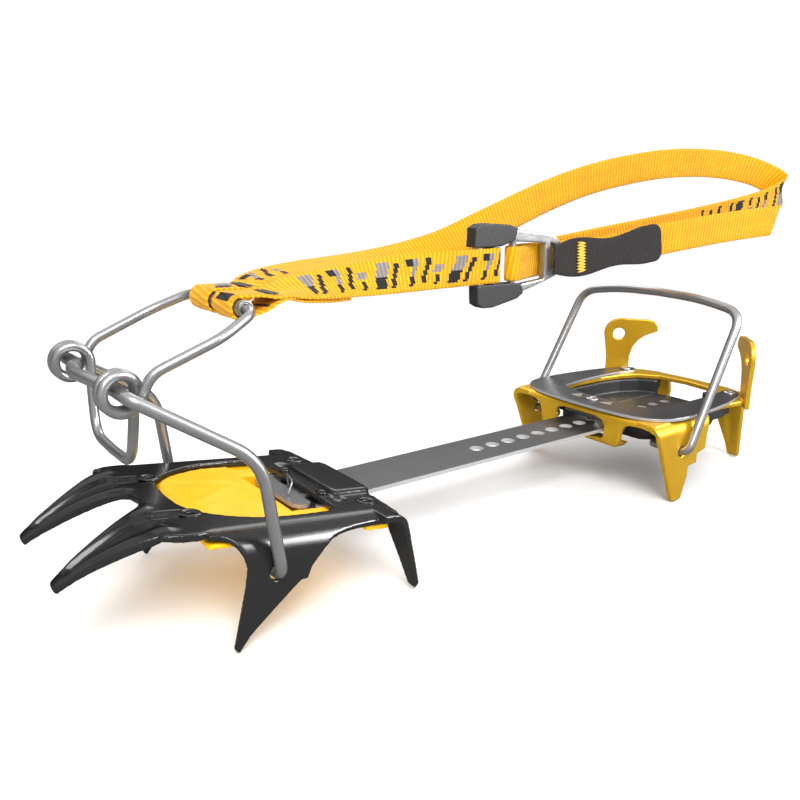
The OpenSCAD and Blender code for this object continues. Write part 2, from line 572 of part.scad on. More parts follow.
// Tab width at fraction s of its length: widens, narrows to a waist, then widens again
function pull_width(s) = s<0.22 ? 12.5+5.3*sin(90*s/0.22)
  : s<0.86 ? 15.6+2.2*cos(180*(s-0.22)/0.32) : 17.8;
module pull_tab() placed() color(dark) {
  path = spline(pull_path);
  last = len(path)-1;
  ribbon(path,[for(p=path) up],[for(i=[0:last]) pull_width(i/last)*(i==last?0.8:1)],1.6);
}
// Zigzag of nine stitches up the tab
module pull_tab_stitching() placed() color(yellow) for(k=[0:8])
  translate([-5.6+(k%2)*0.72,134.5+(k%2)*2.6,99.9+k*1.5]) rotate([0,0,-15.4])
    cube([0.4,3,0.7]);

front_plate();
front_antiball_pad();
front_eyelets();
bar_keeper();
keeper_pins();
release_tab();
release_spring();
linking_bar();
heel_frame();
heel_top_plate();
heel_antiball_pad();
bar_guide();
heel_rivets();
adjuster_pin();
heel_bail();
toe_bail();
toe_link();
strap_tube();
short_strap();
long_strap();
strap_stitching();
buckle_frame();
buckle_sleeves();
pull_tab();
pull_tab_stitching();
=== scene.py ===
"""A crampon: front plate and heel frame on a linking bar, with wire bails and an ankle strap.

X runs across, Y from the toe (-Y) to the heel (+Y), Z up from the floor. Places are written in
mm with y = 0 at the front plate's rear edge; to_scene() turns them into scene metres.
"""
import bpy
import bmesh
import json
import math
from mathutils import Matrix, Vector


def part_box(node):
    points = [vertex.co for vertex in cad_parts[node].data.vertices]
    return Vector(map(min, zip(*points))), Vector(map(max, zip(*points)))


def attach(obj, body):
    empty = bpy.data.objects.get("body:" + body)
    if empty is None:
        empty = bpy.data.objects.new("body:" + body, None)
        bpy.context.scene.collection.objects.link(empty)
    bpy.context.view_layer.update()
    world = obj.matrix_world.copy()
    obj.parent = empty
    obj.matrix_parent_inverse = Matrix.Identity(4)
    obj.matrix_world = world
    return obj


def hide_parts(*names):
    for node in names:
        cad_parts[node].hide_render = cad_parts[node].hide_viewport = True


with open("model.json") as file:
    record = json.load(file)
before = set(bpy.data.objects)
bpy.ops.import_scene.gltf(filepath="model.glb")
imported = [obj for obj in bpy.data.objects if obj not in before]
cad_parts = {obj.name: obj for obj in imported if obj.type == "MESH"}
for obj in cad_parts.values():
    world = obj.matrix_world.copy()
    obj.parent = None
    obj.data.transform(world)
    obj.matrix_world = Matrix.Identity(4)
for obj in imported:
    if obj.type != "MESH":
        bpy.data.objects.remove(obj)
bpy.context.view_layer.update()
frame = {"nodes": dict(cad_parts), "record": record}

RECORD = frame["record"]
SLOT = {part["node"]: part["material_slot"] for part in RECORD["subparts"]}
BODY = {node: body for body, nodes in RECORD["behaviour"]["bodies"].items() for node in nodes}

MM = 0.001
TUBE_Y, TUBE_Z = -44.3, 102.8   # axis of the strap tube
TUBE_LENGTH = 40
TUBE_BORE, TUBE_RADIUS = 1.7, 2.75
tube_low, tube_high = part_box("strap_tube")
Y_MID = TUBE_Y - (tube_low[1] + tube_high[1]) * 500   # y of the scene's origin, mm


def to_scene(p):
    return Vector((p[0] * MM, (p[1] - Y_MID) * MM, p[2] * MM))


# ---------------------------------------------------------------- shader nodes
def fill(tree, node, inputs):
    """Sets or links sockets; a colour given as three numbers gets an alpha of 1."""
    for key, value in inputs.items():
        socket = node.inputs[key]
        if isinstance(value, bpy.types.NodeSocket):
            tree.links.new(value, socket)
        elif isinstance(value, tuple):
            socket.default_value = (*value, 1)[:len(socket.default_value)]
        else:
            socket.default_value = value


def add_node(tree, kind, inputs=None, **settings):
    node = tree.nodes.new("ShaderNode" + kind)
    for key, value in settings.items():
        setattr(node, key, value)
    fill(tree, node, inputs or {})
    return node


def new_material(name):
    material = bpy.data.materials.new(name)
    material.use_nodes = True
    tree = material.node_tree
    tree.nodes.clear()
    output = add_node(tree, "OutputMaterial")
    shader = add_node(tree, "BsdfPrincipled")
    tree.links.new(shader.outputs[0], output.inputs[0])
    return material, tree, shader, output


def calc(tree, operation, *values):
    return add_node(tree, "Math", dict(enumerate(values)), operation=operation).outputs[0]


def noise(tree, scale, detail, roughness=0.55, stretch=None):
    place = add_node(tree, "TexCoord").outputs["Object"]
    if stretch:
        place = add_node(tree, "Mapping", {0: place, "Scale": stretch}).outputs[0]
    inputs = {"Vector": place, "Scale": scale, "Detail": detail, "Roughness": roughness}
    return add_node(tree, "TexNoise", inputs).outputs[0]


def ramp(tree, source, *stops):
    """Colour ramp; each stop is (position, grey level or colour)."""
    node = add_node(tree, "ValToRGB", {0: source})
    elements = node.color_ramp.elements
    while len(elements) > 1:
        elements.remove(elements[-1])
    for i, (position, value) in enumerate(stops):
        element = elements.new(position) if i else elements[0]
        element.position = position
        element.color = (*(value if isinstance(value, tuple) else (value,) * 3), 1)
    return node.outputs[0]


def mix(tree, factor, first, second, blend="MIX"):
    inputs = {0: factor, 6: first, 7: second}
    return add_node(tree, "Mix", inputs, data_type="RGBA", blend_type=blend).outputs[2]


def bump(tree, shader, height, strength, distance):
    inputs = {"Height": height, "Strength": strength, "Distance": distance}
    fill(tree, shader, {"Normal": add_node(tree, "Bump", inputs).outputs[0]})


def scaled(color, factor):
    return tuple(min(1, channel * factor) for channel in color)


# ---------------------------------------------------------------- materials
def edge_mask(tree):
    """Bright along edges, where the rounded normal leaves the true one."""
    rounded_normal = add_node(tree, "Bevel", {"Radius": 0.0006}, samples=6).outputs[0]
    normal = add_node(tree, "NewGeometry").outputs["Normal"]
    match = add_node(tree, "VectorMath", {0: rounded_normal, 1: normal},
                     operation="DOT_PRODUCT").outputs["Value"]
    return ramp(tree, calc(tree, "SUBTRACT", 1, match), (0.02, 0), (0.16, 1))


def metal(name, base, edge_wear_and_highlight, rough, metallic, edge, speck, relief, vary,
          rough_vary=0.18, coat=0.0, grain=None, cut=None):
    """Metal with edges lightened by rubbing and painted highlight (edge: how much), fine specks
    (speck: their scale, grain: their stretch) and, where cut is given, that colour as painted
    reflection on faces standing near vertical, sheared edges among them."""
    material, tree, shader, _ = new_material(name)
    patches = noise(tree, 60, 5, 0.6)
    specks = noise(tree, speck, 3, 0.6, grain)
    color = ramp(tree, patches, (0.35, scaled(base, 1 - vary)), (0.65, scaled(base, 1 + vary)))
    mask = edge_mask(tree)
    # edge mask times patchy specks: rubbed edges, and painted highlight along the edges as well
    edge_wear_and_highlight_mask = calc(tree, "MULTIPLY", mask, ramp(tree, specks, (0.38, 0.35), (0.6, 1)))
    color = mix(tree, calc(tree, "MULTIPLY", edge_wear_and_highlight_mask, edge), color, edge_wear_and_highlight)
    # painted reflection: faces standing near vertical take the cut colour, lighter than the base,
    # as if catching the light
    if cut:
        normal = add_node(tree, "NewGeometry").outputs["Normal"]
        facing_up = add_node(tree, "SeparateXYZ", {0: normal}).outputs[2]
        upright_painted_reflection = ramp(tree, calc(tree, "ABSOLUTE", facing_up), (0.35, 1), (0.75, 0))
        color = mix(tree, upright_painted_reflection, color, cut)
    fill(tree, shader, {
        "Base Color": color,
        "Roughness": ramp(tree, specks, (0.3, rough * (1 - rough_vary)),
                          (0.7, min(1, rough * (1 + rough_vary)))),
        "Metallic": metallic, "Coat Weight": coat, "Coat Roughness": 0.18})
    bump(tree, shader, specks, relief, distance=0.00008)
    return material


def plastic(name, base, rough, speck, relief, vary, scatter=0.0, specular=0.5):
    material, tree, shader, _ = new_material(name)
    patches = noise(tree, 45, 4)
    specks = noise(tree, speck, 3)
    fill(tree, shader, {
        "Base Color": ramp(tree, patches, (0.3, scaled(base, 1 - vary)),
                           (0.7, scaled(base, 1 + vary))),
        "Roughness": ramp(tree, specks, (0.3, rough * 0.85), (0.7, min(1, rough * 1.15))),
        "Subsurface Weight": scatter, "Subsurface Radius": (0.004, 0.002, 0.0005),
        "Specular IOR Level": specular})
    bump(tree, shader, specks, relief, distance=0.00005)
    return material


def webbing(name, rib, rough, base=None):
    """Woven webbing: ribs across and yarns along, from the strap's length and width in mm.
    Without a base colour it takes the strap's "weave" colours."""
    material, tree, shader, _ = new_material(name)
    strap_map = add_node(tree, "UVMap", uv_map="strap").outputs[0]
    length, width, _ = add_node(tree, "SeparateXYZ", {0: strap_map}).outputs
    rib_phase = calc(tree, "MULTIPLY", length, 2 * math.pi / rib)
    skew = calc(tree, "MULTIPLY", width, 0.5)
    ribs = calc(tree, "SINE", calc(tree, "ADD", rib_phase, skew))
    yarn_pitch = 0.75
    yarns = calc(tree, "SINE", calc(tree, "MULTIPLY", width, 2 * math.pi / yarn_pitch))
    crossing = calc(tree, "MULTIPLY", ribs, yarns)
    height = ramp(tree, calc(tree, "ADD", ribs, crossing), (0.0, 0), (1.0, 1))
    patches = noise(tree, 70, 3)
    fuzz = noise(tree, 5200, 2)
    if base:
        source = add_node(tree, "RGB")
        source.outputs[0].default_value = (*base, 1)
        color = source.outputs[0]
    else:
        color = add_node(tree, "Attribute", attribute_name="weave").outputs["Color"]
    # painted shade: the weave's low parts are darkened and warmed, as if in shade between the
    # ribs
    groove_painted_shade = ramp(tree, height, (0.0, (0.70, 0.56, 0.5)), (0.5, 1.0))
    color = mix(tree, 1, color, groove_painted_shade, "MULTIPLY")
    color = mix(tree, 1, color, ramp(tree, patches, (0.3, 0.9), (0.7, 1.0)), "MULTIPLY")
    fill(tree, shader, {"Base Color": color, "Roughness": rough, "Sheen Weight": 0.08,
                        "Sheen Roughness": 0.5, "Specular IOR Level": 0.12})
    fuzzy_height = add_node(tree, "Mix", {0: 0.2, 2: height, 3: fuzz}, data_type="FLOAT")
    bump(tree, shader, fuzzy_height.outputs[0], strength=0.6, distance=0.00025)
    return material


def thread(name, base):
    material, tree, shader, _ = new_material(name)
    fuzz = noise(tree, 2500, 2)
    fill(tree, shader, {"Base Color": ramp(tree, fuzz, (0.3, scaled(base, 0.75)), (0.7, base)),
                        "Roughness": 0.7, "Sheen Weight": 0.2})
    bump(tree, shader, fuzz, strength=0.5, distance=0.0001)
    return material


# each cut colour is painted reflection that lightens near-vertical faces
METALS = {
    "black_steel": dict(
        base=(0.0055, 0.0055, 0.006), edge_wear_and_highlight=(0.10, 0.10, 0.105), rough=0.23, metallic=0.0,
        edge=0.0, speck=2200, relief=0.05, vary=0.1, rough_vary=0.08, cut=(0.014, 0.014, 0.0145)),
    # the gold's bright edge colour is rubbing and painted highlight on its edges
    "gold_alloy": dict(
        base=(0.80, 0.46, 0.02), edge_wear_and_highlight=(0.95, 0.72, 0.15), rough=0.31, metallic=0.62,
        edge=0.6, speck=1800, relief=0.05, vary=0.05, rough_vary=0.1, coat=0.12),
    "dark_steel": dict(
        base=(0.075, 0.075, 0.078), edge_wear_and_highlight=(0.55, 0.55, 0.56), rough=0.34, metallic=0.55,
        edge=0.6, speck=900, relief=0.2, vary=0.12, grain=(1, 0.05, 1), cut=(0.50, 0.50, 0.51)),
    "bar_steel": dict(
        base=(0.046, 0.046, 0.048), edge_wear_and_highlight=(0.5, 0.5, 0.51), rough=0.34, metallic=0.45,
        edge=0.6, speck=900, relief=0.04, vary=0.08, rough_vary=0.1, grain=(1, 0.04, 1),
        cut=(0.56, 0.56, 0.57)),
    "bright_steel": dict(
        base=(0.36, 0.36, 0.37), edge_wear_and_highlight=(0.75, 0.75, 0.76), rough=0.3, metallic=0.9,
        edge=0.5, speck=1500, relief=0.15, vary=0.10),
    "tab_steel": dict(
        base=(0.15, 0.15, 0.155), edge_wear_and_highlight=(0.5, 0.5, 0.51), rough=0.36, metallic=0.7,
        edge=0.5, speck=1500, relief=0.15, vary=0.10, cut=(0.6, 0.6, 0.6)),
    "wire_steel": dict(
        base=(0.37, 0.37, 0.375), edge_wear_and_highlight=(0.6, 0.6, 0.61), rough=0.30, metallic=0.82,
        edge=0.0, speck=2600, relief=0.06, vary=0.05, rough_vary=0.1),
    "cast_alloy": dict(
        base=(0.42, 0.425, 0.43), edge_wear_and_highlight=(0.75, 0.75, 0.76), rough=0.34, metallic=0.85,
        edge=0.5, speck=1100, relief=0.25, vary=0.15),
}
PLASTICS = {
    "yellow_plastic": dict(base=(0.92, 0.50, 0.0), rough=0.42, speck=700, relief=0.10,
                           vary=0.03, scatter=0.03, specular=0.22),
    "black_plastic": dict(base=(0.018, 0.018, 0.019), rough=0.5, speck=1100, relief=0.6,
                          vary=0.25),
    "black_rubber": dict(base=(0.016, 0.016, 0.017), rough=0.62, speck=1300, relief=0.8,
                         vary=0.25),
}
WEBBINGS = {
    "yellow_webbing": dict(rib=2.0, rough=0.7),
    "grey_webbing": dict(base=(0.036, 0.036, 0.038), rib=0.9, rough=0.85),
}
THREADS = {
    "yellow_thread": dict(base=(0.92, 0.52, 0.015)),
    "black_thread": dict(base=(0.02, 0.02, 0.022)),
}
MATERIALS = {name: make(name, **look)
             for make, looks in ((metal, METALS), (plastic, PLASTICS),
                                 (webbing, WEBBINGS), (thread, THREADS))
             for name, look in looks.items()}


# ---------------------------------------------------------------- objects
def smooth_shade(mesh):
    mesh.polygons.foreach_set("use_smooth", [True] * len(mesh.polygons))


def finish(obj, node, material=None):
    """Puts obj in the place of a CAD node, with the node's material unless one is named."""
    slot = SLOT[node]
    obj.data.materials.clear()
    obj.data.materials.append(MATERIALS[material or slot])
    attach(obj, BODY[node])
    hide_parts(node)
    return obj


def link_object(name, data):
    obj = bpy.data.objects.new(name, data)
    bpy.context.scene.collection.objects.link(obj)
    return obj


def add_mesh(name, verts, faces, node, material=None):
    mesh = bpy.data.meshes.new(name)
    mesh.from_pydata([tuple(v) for v in verts], [], faces)
    mesh.validate()
    mesh.update()
    smooth_shade(mesh)
    return finish(link_object(name, mesh), node, material)


def apply_modifiers(obj):
    depsgraph = bpy.context.evaluated_depsgraph_get()
    mesh = bpy.data.meshes.new_from_object(obj.evaluated_get(depsgraph))
    old = obj.data
    obj.modifiers.clear()
    obj.data = mesh
    bpy.data.meshes.remove(old)


def copy_node(node, name, merge):
    """Copies a CAD node; returns it with an open bmesh, its doubled corners merged."""
    source = frame["nodes"][node]
    obj = link_object(name, source.data.copy())
    obj.matrix_world = source.matrix_world
    bm = bmesh.new()
    bm.from_mesh(obj.data)
    bmesh.ops.remove_doubles(bm, verts=bm.verts, dist=merge)
    return obj, bm


def relax(bm, verts, rounds, factor=0.5):
    for _ in range(rounds):
        bmesh.ops.smooth_vert(bm, verts=verts, factor=factor,
                              use_axis_x=True, use_axis_y=True, use_axis_z=True)


def soften(node, name, depth=7, rounds=2, factor=0.45, move=None, regions=()):
    """Rebuilds a CAD node as an even quad mesh with slightly rounded edges. Each region is
    (test, extra smoothing rounds); move then shapes every vertex."""
    obj, bm = copy_node(node, name, merge=1e-6)
    bm.to_mesh(obj.data)
    bm.free()
    remesh = obj.modifiers.new("r", "REMESH")
    remesh.mode = "SHARP"
    remesh.octree_depth = depth
    remesh.scale = 0.92
    remesh.sharpness = 1.0
    remesh.use_remove_disconnected = False
    apply_modifiers(obj)
    bm = bmesh.new()
    bm.from_mesh(obj.data)
    relax(bm, bm.verts, rounds, factor)
    for test, extra in regions:
        relax(bm, [v for v in bm.verts if test(v.co)], extra)
    if move:
        for v in bm.verts:
            v.co = move(v.co)
    bm.normal_update()
    bm.to_mesh(obj.data)
    bm.free()
    smooth_shade(obj.data)
    finish(obj, node)


def sheet(node, name, edge_round, material=None):
    """Stamped sheet: flat faces joined up, sharp edges rounded by edge_round metres."""
    obj, bm = copy_node(node, name, merge=2e-6)
    bmesh.ops.dissolve_limit(bm, angle_limit=math.radians(1.0), verts=bm.verts, edges=bm.edges)
    sharp = [e for e in bm.edges
             if len(e.link_faces) == 2 and e.calc_face_angle(0) > math.radians(32)]
    bmesh.ops.bevel(bm, geom=sharp, offset=edge_round, offset_type="OFFSET", segments=3,
                    profile=0.5, affect="EDGES", clamp_overlap=True)
    bmesh.ops.triangulate(bm, faces=[f for f in bm.faces if len(f.verts) > 4])
    bm.normal_update()
    bm.to_mesh(obj.data)
    bm.free()
    smooth_shade(obj.data)
    weighted = obj.modifiers.new("w", "WEIGHTED_NORMAL")
    weighted.keep_sharp = False
    weighted.weight = 90
    apply_modifiers(obj)
    finish(obj, node, material)


# ---------------------------------------------------------------- paths
def unit(v):
    return v.normalized() if v.length > 1e-12 else v


def tangent(path, i):
    return unit(path[min(i + 1, len(path) - 1)] - path[max(i - 1, 0)])


def bend(start, corner, end, steps):
    """Quadratic curve from start to end, pulled towards corner."""
    curve = []
    for k in range(steps + 1):
        t = k / steps
        curve.append((1 - t) ** 2 * start + 2 * t * (1 - t) * corner + t * t * end)
    return curve


def rounded(points, cuts):
    """Rounds each inner corner, starting its cut (mm) before the corner; 0 keeps it sharp."""
    points = [Vector(p) for p in points]
    path = []
    for i, corner in enumerate(points):
        if i in (0, len(points) - 1) or cuts[i] == 0:
            path.append(corner)
            continue
        start = corner + unit(points[i - 1] - corner) * cuts[i]
        end = corner + unit(points[i + 1] - corner) * cuts[i]
        path += bend(start, corner, end, 12)
    return path


def spline(points, steps=8):
    """Catmull-Rom curve through the points."""
    path = []
    for i in range(len(points) - 1):
        a, b, c = points[max(i - 1, 0)], points[i], points[i + 1]
        d = points[min(i + 2, len(points) - 1)]
        for k in range(steps):
            t = k / steps
            path.append(0.5 * ((2 * b) + (c - a) * t + (2 * a - 5 * b + 4 * c - d) * t * t
                               + (3 * b - a - 3 * c + d) * t ** 3))
    path.append(points[-1])
    return path


def resample(step, *tracks):
    """Even steps along the first track, the others following; the length comes last."""
    path = tracks[0]
    distance = [0.0]
    for start, end in zip(path, path[1:]):
        distance.append(distance[-1] + (end - start).length)
    length = distance[-1]
    count = max(2, int(length / step))
    results = [[] for _ in tracks]
    j = 0
    for k in range(count + 1):
        target = length * k / count
        while j < len(distance) - 2 and distance[j + 1] < target:
            j += 1
        t = (target - distance[j]) / max(1e-9, distance[j + 1] - distance[j])
        for result, track in zip(results, tracks):
            result.append(track[j].lerp(track[j + 1], t))
    return (*results, length)


def mirrored(half):
    """Continues a path that ends on the middle plane with its mirror image."""
    return half + [Vector((-p[0], p[1], p[2])) for p in reversed(half)][1:]


# ---------------------------------------------------------------- tubes and turned pieces
def tube_rings(path, radii, sides, side_axis):
    rings = []
    for i, (center, radius) in enumerate(zip(path, radii)):
        along = tangent(path, i)
        side_axis = unit(side_axis - along * side_axis.dot(along))
        other = along.cross(side_axis)
        angles = [2 * math.pi * k / sides for k in range(sides)]
        rings.append([center + (side_axis * math.cos(a) + other * math.sin(a)) * radius
                      for a in angles])
    return rings


def tube_faces(base, rings, sides):
    faces = []
    for i in range(rings - 1):
        for k in range(sides):
            a, b = base + i * sides + k, base + i * sides + (k + 1) % sides
            faces.append((a, b, b + sides, a + sides))
    faces.append(tuple(base + k for k in range(sides - 1, -1, -1)))
    faces.append(tuple(base + (rings - 1) * sides + k for k in range(sides)))
    return faces


def wire(name, node, path, radius, sides=24, side_axis=(0, 1, 0), step=0.7):
    """Round wire with chamfered ends."""
    path, _ = resample(step, [Vector(p) for p in path])
    rings = tube_rings(path, [radius] * len(path), sides, Vector(side_axis))

    def end_rings(ring, center, outward):
        # each chamfer ring: (share of the radius, reach beyond the end)
        return [[center + (v - center) * share + outward * (radius * reach) for v in ring]
                for share, reach in ((0.93, 0.15), (0.78, 0.252))]

    start = end_rings(rings[0], path[0], -tangent(path, 0))
    end = end_rings(rings[-1], path[-1], tangent(path, len(path) - 1))
    rings = start[::-1] + rings + end
    verts = [to_scene(v) for ring in rings for v in ring]
    add_mesh(name, verts, tube_faces(0, len(rings), sides), node)


def threads(name, node, paths, radius):
    """Stitching threads, narrowed at both ends."""
    sides = 8
    verts, faces = [], []
    for path in paths:
        faces += tube_faces(len(verts), len(path), sides)
        radii = [radius * 0.45] + [radius] * (len(path) - 2) + [radius * 0.45]
        for ring in tube_rings(path, radii, sides, Vector((0.3, 0.2, 1))):
            verts += [to_scene(v) for v in ring]
    add_mesh(name, verts, faces, node)


def lathe(profile, corner=0.12, sides=40):
    """Turns a closed (radius, z) profile about Z, its corners rounded by up to corner mm."""
    points = [Vector((r, z, 0)) for r, z in profile]
    outline = []
    for i, point in enumerate(points):
        before, after = points[i - 1], points[(i + 1) % len(points)]
        cut = min(corner, (before - point).length * 0.4, (after - point).length * 0.4)
        outline += bend(point + unit(before - point) * cut, point,
                        point + unit(after - point) * cut, 3)
    verts, faces = [], []
    for i, (r, z, _) in enumerate(outline):
        row, above = i * sides, (i + 1) % len(outline) * sides
        for k in range(sides):
            angle = 2 * math.pi * k / sides
            verts.append((r * math.cos(angle), r * math.sin(angle), z))
            following = (k + 1) % sides
            faces.append((row + k, row + following, above + following, above + k))
    return verts, faces


def turned(name, node, parts, place):
    """One mesh of turned pieces, each a (profile, (x, y)) pair."""
    verts, faces = [], []
    for profile, (px, py) in parts:
        base = len(verts)
        part_verts, part_faces = lathe(profile)
        verts += [place((x + px, y + py, z)) for x, y, z in part_verts]
        faces += [tuple(i + base for i in face) for face in part_faces]
    add_mesh(name, verts, faces, node)


def clamp(value):
    return min(1.0, max(0.0, value))


def smooth_step(start, end, value):
    t = clamp((value - start) / (end - start))
    return t * t * (3 - 2 * t)


def bell(distance, width):
    return math.exp(-(distance / width) ** 2)


# ---------------------------------------------------------------- front section
# The plate's own frame (mm) is raised and tipped about X, its toe end up.
PLATE_TILT = math.radians(7.8)
PLATE_HEIGHT = 30.5
# Front points: (y, half width) and (y, distance of the middle line from x = 0)
POINT_HALF_WIDTH = [(-70, 13.6), (-78, 13.5), (-81.4, 12.2), (-85.4, 11), (-92.4, 8), (-100, 5),
                    (-107.5, 2.6), (-110.1, 0.6)]
POINT_MIDDLE = [(-70, 19.4), (-78, 19.6), (-85.4, 20.4), (-92.4, 20.4), (-100, 20.1),
                (-110, 20.1)]


def to_plate(co):
    x, y, z = co[0] * 1000, co[1] * 1000 + Y_MID, co[2] * 1000 - PLATE_HEIGHT
    return Vector((x, y * math.cos(PLATE_TILT) - z * math.sin(PLATE_TILT),
                   y * math.sin(PLATE_TILT) + z * math.cos(PLATE_TILT)))


def plate_to_mm(local):
    x, y, z = local
    return (x, y * math.cos(PLATE_TILT) + z * math.sin(PLATE_TILT),
            -y * math.sin(PLATE_TILT) + z * math.cos(PLATE_TILT) + PLATE_HEIGHT)


def plate_to_scene(local):
    return to_scene(plate_to_mm(local))


def table_value(table, y):
    """Straight-line value from a table whose y falls."""
    if y >= table[0][0]:
        return table[0][1]
    for (y0, value0), (y1, value1) in zip(table, table[1:]):
        if y >= y1:
            return value0 + (value1 - value0) * (y - y0) / (y1 - y0)
    return table[-1][1]


def press_plate(co):
    local = to_plate(co)
    x, y, z = local
    side = abs(x)
    if y < -66 and side < 34:
        # a lens-shaped hollow along each front point, between two rims
        along = clamp((-78 - y) / 31.6)
        top = -17 * along ** 1.55   # height of the point's upper face
        across = (side - table_value(POINT_MIDDLE, y)) / table_value(POINT_HALF_WIDTH, y)
        fade = smooth_step(-67.5, -74, y) * (1 - smooth_step(0.80, 0.90, along))
        pinch = 1 - 0.45 * smooth_step(0.1, 0.0, along)
        hollow = (1 - smooth_step(0.26 * pinch, 0.54 * pinch, abs(across + 0.05))) * fade
        rim = bell(abs(across) - 0.74, 0.16) * fade * smooth_step(-74, -80, y)
        upper = smooth_step(top - 2.6, top - 1.2, z)
        local.z += upper * (0.55 * rim - 1.75 * hollow) - (1 - upper) * 0.5 * hollow
    # a dimple on each side of the raised channel
    dimple_x, dimple_y, dimple_radius, dimple_depth = 21.5, -13.5, 3.6, 0.9
    reach = math.hypot(side - dimple_x, y - dimple_y) / dimple_radius
    if reach < 1 and z > -3:
        local.z -= dimple_depth * (1 - reach * reach) ** 2
    return plate_to_scene(local)


def beside_channel(co):
    x, y, z = to_plate(co)
    return 14.5 < abs(x) < 22 and -16 < y < 5 and z > -0.75


def on_point(co):
    return to_plate(co).y < -79.5


def swell_pad(co):
    """Domes the pad's top, with a faint wave, one ridge and one groove."""
    center_y, half_length, half_width = -50, 18, 29.6
    local = to_plate(co)
    x, y, z = local
    reach = max(abs(x) / half_width, abs(y - center_y) / half_length)
    if z > -2.0 and reach < 1:
        wave = 0.28 * math.sin((x * 0.8 + y) * 0.21)
        ridge = 0.22 * bell(x + 0.7 * (y + 48), 2.6)
        groove = 0.26 * bell(x - 0.5 * (y + 50) + 9, 3.0)
        local.z += (0.9 + wave + ridge - groove) * (1 - smooth_step(0.35, 1.0, reach))
    return plate_to_scene(local)


soften("front_plate", "front_plate_forged", depth=8, rounds=3, factor=0.5, move=press_plate,
       regions=((beside_channel, 14), (on_point, 9)))
soften("front_antiball_pad", "front_antiball_pad_moulded", rounds=3, factor=0.5, move=swell_pad)

# Turned profiles: (radius, z)
EYELET = [(1.1, -5), (3.2, -5), (3.2, -4.35), (2, -4.35), (2, 0.05), (4, 0.05), (3.9, 0.25),
          (3.3, 0.48), (2.6, 0.5), (2.1, 0.36), (1.6, 0.16), (1.2, -0.3)]
KEEPER_PIN = [(0.02, -9.6), (1.8, -9.6), (1.8, -8.95), (1, -8.95), (1, 0.05), (2.2, 0.05),
              (2.15, 0.55), (1.7, 1.0), (1.0, 1.3), (0.02, 1.4)]
eyelets = [(EYELET, (side * x, y)) for side in (1, -1) for x, y in ((19.3, -67.8), (26.6, -4.9))]
turned("front_eyelets_rolled", "front_eyelets", eyelets, plate_to_scene)
turned("keeper_pins_headed", "keeper_pins",
       [(KEEPER_PIN, (x, -16)) for x in (14.2, -14.2)], plate_to_scene)
sheet("bar_keeper", "bar_keeper_pressed", edge_round=0.0003)
sheet("release_tab", "release_tab_stamped", edge_round=0.0002, material="tab_steel")
spring = rounded([(-4, -19.4, -2.3), (-4, -20.6, 2.2), (4.2, -22.6, 2), (5.2, -24.4, -2.1)],
                 cuts=[0, 1.8, 1.8, 0])
wire("release_spring_wire", "release_spring", [plate_to_mm(p) for p in spring],
     radius=0.35, sides=12, step=0.25)
sheet("linking_bar", "linking_bar_stamped", edge_round=0.00022)


# ---------------------------------------------------------------- heel section
def crease_heel(co):
    """Presses a crease down each rear point."""
    x, y, z = co[0] * 1000, co[1] * 1000 + Y_MID, co[2] * 1000
    if y > 219 and z < 30:
        fade = smooth_step(2, 12, z) * (1 - smooth_step(24, 31, z))
        y += 1.3 * fade * bell(abs(x) - 23.2, 2.4)
    return to_scene((x, y, z))


soften("heel_frame", "heel_frame_pressed", depth=8, rounds=3, factor=0.5, move=crease_heel)
sheet("heel_top_plate", "heel_top_plate_stamped", edge_round=0.00025)
soften("heel_antiball_pad", "heel_antiball_pad_moulded")
soften("bar_guide", "bar_guide_moulded", depth=6)

RIVET_HEIGHT = 37.4
# (radius, z above RIVET_HEIGHT)
RIVET_TOP = [(2, 1.6), (3.2, 1.6), (3.0, 2.1), (2.2, 2.5), (1.2, 2.35), (0.9, 1.9), (0.02, 1.85)]


def rivet(foot):
    """Profile of a rivet that reaches foot mm below RIVET_HEIGHT."""
    shape = [(0.02, -foot), (3.2, -foot), (3.4, -2.35), (2, -2.35)] + RIVET_TOP
    return [(radius, RIVET_HEIGHT + z) for radius, z in shape]


turned("heel_rivets_set", "heel_rivets",
       [(rivet(4.4), (32.5, 206.6)), (rivet(4.4), (-32.5, 206.6)), (rivet(2.9), (0, 143))],
       to_scene)
soften("adjuster_pin", "adjuster_pin_turned", rounds=1)

# ---------------------------------------------------------------- wires
# (y, z) of lines that run across the crampon
TOE_END = (-48.8, 23.2)    # the toe bail's ends
HEEL_END = (152, 23.4)     # the heel bail's ends
COIL_AXIS = (-87.3, 83.6)  # the toe link's coils, round the toe bail
BAIL_RADIUS = 2.0

toe_half = rounded([(37, *TOE_END), (46.4, *TOE_END), (44.6, -53.5, 61.9), (33.6, *COIL_AXIS),
                    (19.5, *COIL_AXIS), (9, -91.2, 85.2), (0, -92.8, 85.4)],
                   cuts=[0, 5.5, 9, 2.6, 4, 4, 0])
wire("toe_bail_wire", "toe_bail", mirrored(toe_half), BAIL_RADIUS)
heel_half = rounded([(30, *HEEL_END), (49, *HEEL_END), (46.8, 185.6, 82.6), (24, 187.4, 86.2),
                     (0, 187.6, 86.8)], cuts=[0, 4.5, 8.5, 10, 0])
wire("heel_bail_wire", "heel_bail", mirrored(heel_half), BAIL_RADIUS)


def link_coil():
    """Almost two turns, from the outer end inwards."""
    outer_x, inner_x, radius, steps = 28.8, 21.9, 5.4, 160
    points = []
    for i in range(steps + 1):
        t = i / steps
        angle = math.radians(-18 - 716 * t)
        points.append(Vector((outer_x + (inner_x - outer_x) * t,
                              COIL_AXIS[0] + radius * math.cos(angle),
                              COIL_AXIS[1] + radius * math.sin(angle))))
    return points


